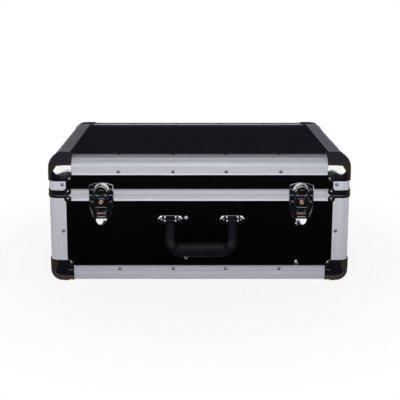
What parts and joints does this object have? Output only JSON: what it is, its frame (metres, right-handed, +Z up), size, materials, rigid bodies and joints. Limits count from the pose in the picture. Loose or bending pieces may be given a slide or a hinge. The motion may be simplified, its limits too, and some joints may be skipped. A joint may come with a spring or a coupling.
{
  "type": "flight case",
  "caption": "Rectangular lighting flight case: laminated panels in rounded aluminium rails, chrome corners, hinged lid, key-lock draw latches, divided interior and a drop handle.",
  "frame": {"origin": "on the floor under the middle of the closed case, measured over the handle and the back hinge", "axes": "+X to the right seen from the front, -Y towards the front with the latches and handle, +Z up"},
  "size_m": [0.5184, 0.3802, 0.2242],
  "materials": {
    "aluminium": "satin anodised, fluted",
    "chrome": "bright plated pressed steel",
    "laminate": "black laminate on plywood",
    "board": "black lined board",
    "handle_plastic": "soft moulded plastic, fine grain",
    "brass": "machined",
    "steel": "zinc plated"
  },
  "bodies": {
    "base": {"base_back_panel": "laminate", "base_bottom_rail_back": "aluminium", "base_bottom_rail_front": "aluminium", "base_bottom_rail_left": "aluminium", "base_bottom_rail_right": "aluminium", "base_bracket_back_left": "chrome", "base_bracket_back_right": "chrome", "base_bracket_front_left": "chrome", "base_bracket_front_right": "chrome", "base_corner_back_left": "chrome", "base_corner_back_right": "chrome", "base_corner_front_left": "chrome", "base_corner_front_right": "chrome", "base_floor_panel": "laminate", "base_front_panel": "laminate", "base_left_panel": "laminate", "base_right_panel": "laminate", "base_rim_frame": "aluminium", "base_upright_rail_back_left": "aluminium", "base_upright_rail_back_right": "aluminium", "base_upright_rail_front_left": "aluminium", "base_upright_rail_front_right": "aluminium", "divider_insert": "board", "handle_bracket_left": "chrome", "handle_bracket_right": "chrome", "hinge_base_leaf": "steel", "latch_base_plate_left": "chrome", "latch_base_plate_right": "chrome"},
    "lid": {"hinge_lid_leaf": "steel", "latch_catch_plate_left": "chrome", "latch_catch_plate_right": "chrome", "lid_back_panel": "laminate", "lid_bracket_back_left": "chrome", "lid_bracket_back_right": "chrome", "lid_bracket_front_left": "chrome", "lid_bracket_front_right": "chrome", "lid_corner_back_left": "chrome", "lid_corner_back_right": "chrome", "lid_corner_front_left": "chrome", "lid_corner_front_right": "chrome", "lid_front_panel": "laminate", "lid_left_panel": "laminate", "lid_right_panel": "laminate", "lid_rim_frame": "aluminium", "lid_top_panel": "laminate", "lid_top_rail_back": "aluminium", "lid_top_rail_front": "aluminium", "lid_top_rail_left": "aluminium", "lid_top_rail_right": "aluminium", "lid_upright_rail_back_left": "aluminium", "lid_upright_rail_back_right": "aluminium", "lid_upright_rail_front_left": "aluminium", "lid_upright_rail_front_right": "aluminium"},
    "handle": {"handle": "handle_plastic"},
    "latch_lever_left": {"latch_lever_left": "chrome"},
    "latch_hasp_left": {"latch_hasp_left": "chrome"},
    "latch_key_left": {"latch_key_plug_left": "brass"},
    "latch_lever_right": {"latch_lever_right": "chrome"},
    "latch_hasp_right": {"latch_hasp_right": "chrome"},
    "latch_key_right": {"latch_key_plug_right": "brass"}
  },
  "joints": [
    {"name": "lid_hinge", "type": "hinge", "parent": "base", "child": "lid", "pos_m": [0, 0.18675, 0.1575], "axis": [-1, 0, 0], "range_deg": [0, 100]},
    {"name": "lever_left", "type": "hinge", "parent": "base", "child": "latch_lever_left", "pos_m": [-0.167, -0.17605, 0.1378], "axis": [-1, 0, 0], "range_deg": [0, 110]},
    {"name": "hasp_left", "type": "hinge", "parent": "latch_lever_left", "child": "latch_hasp_left", "pos_m": [-0.167, -0.17605, 0.1263], "axis": [-1, 0, 0], "range_deg": [-110, 0]},
    {"name": "key_left", "type": "hinge", "parent": "latch_hasp_left", "child": "latch_key_left", "pos_m": [-0.167, -0.18195, 0.1475], "axis": [0, -1, 0], "range_deg": [0, 90]},
    {"name": "lever_right", "type": "hinge", "parent": "base", "child": "latch_lever_right", "pos_m": [0.173, -0.17605, 0.1378], "axis": [-1, 0, 0], "range_deg": [0, 110]},
    {"name": "hasp_right", "type": "hinge", "parent": "latch_lever_right", "child": "latch_hasp_right", "pos_m": [0.173, -0.17605, 0.1263], "axis": [-1, 0, 0], "range_deg": [-110, 0]},
    {"name": "key_right", "type": "hinge", "parent": "latch_hasp_right", "child": "latch_key_right", "pos_m": [0.173, -0.18195, 0.1475], "axis": [0, -1, 0], "range_deg": [0, 90]},
    {"name": "handle_pivot", "type": "hinge", "parent": "base", "child": "handle", "pos_m": [0.003, -0.17715, 0.114], "axis": [-1, 0, 0], "range_deg": [0, 100]}
  ],
  "couplings": [
    {"joint": "hasp_left", "follows": "lever_left", "ratio": -1},
    {"joint": "hasp_right", "follows": "lever_right", "ratio": -1}
  ]
}
